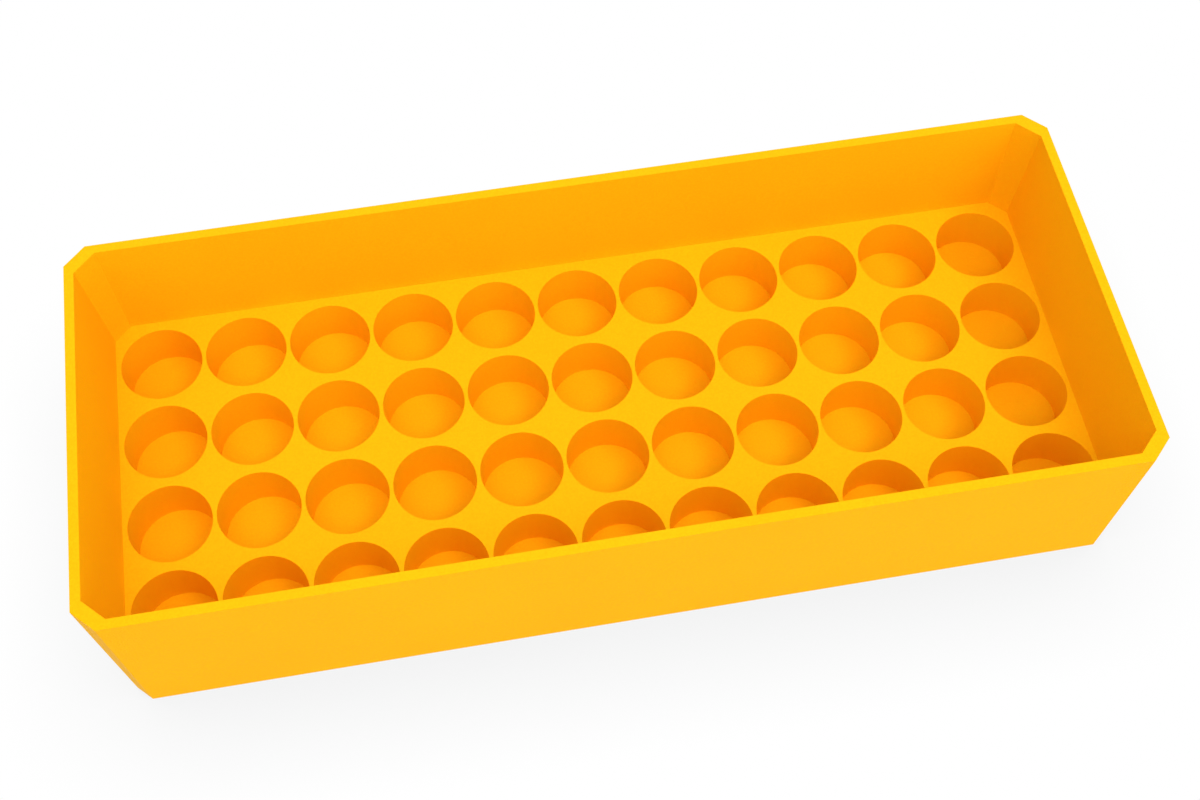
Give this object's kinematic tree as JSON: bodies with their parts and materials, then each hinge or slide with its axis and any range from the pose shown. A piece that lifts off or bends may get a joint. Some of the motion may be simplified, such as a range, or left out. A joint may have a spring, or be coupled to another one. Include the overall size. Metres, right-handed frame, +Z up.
{
  "type": "battery storage tray",
  "caption": "Open flared tray with cut corners and a drop-in rack of round pockets that hold small cylindrical lithium cells upright.",
  "frame": {"origin": "middle of the underside of the case, on the surface that it stands on", "axes": "+X along the length, to the right as seen from the front; +Y from the front to the back; +Z up, out of the open top"},
  "size_m": [0.2102, 0.0864, 0.0402],
  "materials": {
    "shell_plastic": "matte",
    "rack_plastic": "matte"
  },
  "bodies": {
    "case": {"drawer_shell": "shell_plastic"},
    "rack": {"battery_rack": "rack_plastic"}
  },
  "joints": [
    {"name": "rack_lift", "type": "slide", "parent": "case", "child": "rack", "axis": [0, 0, 1], "range_m": [0, 0.045]}
  ]
}
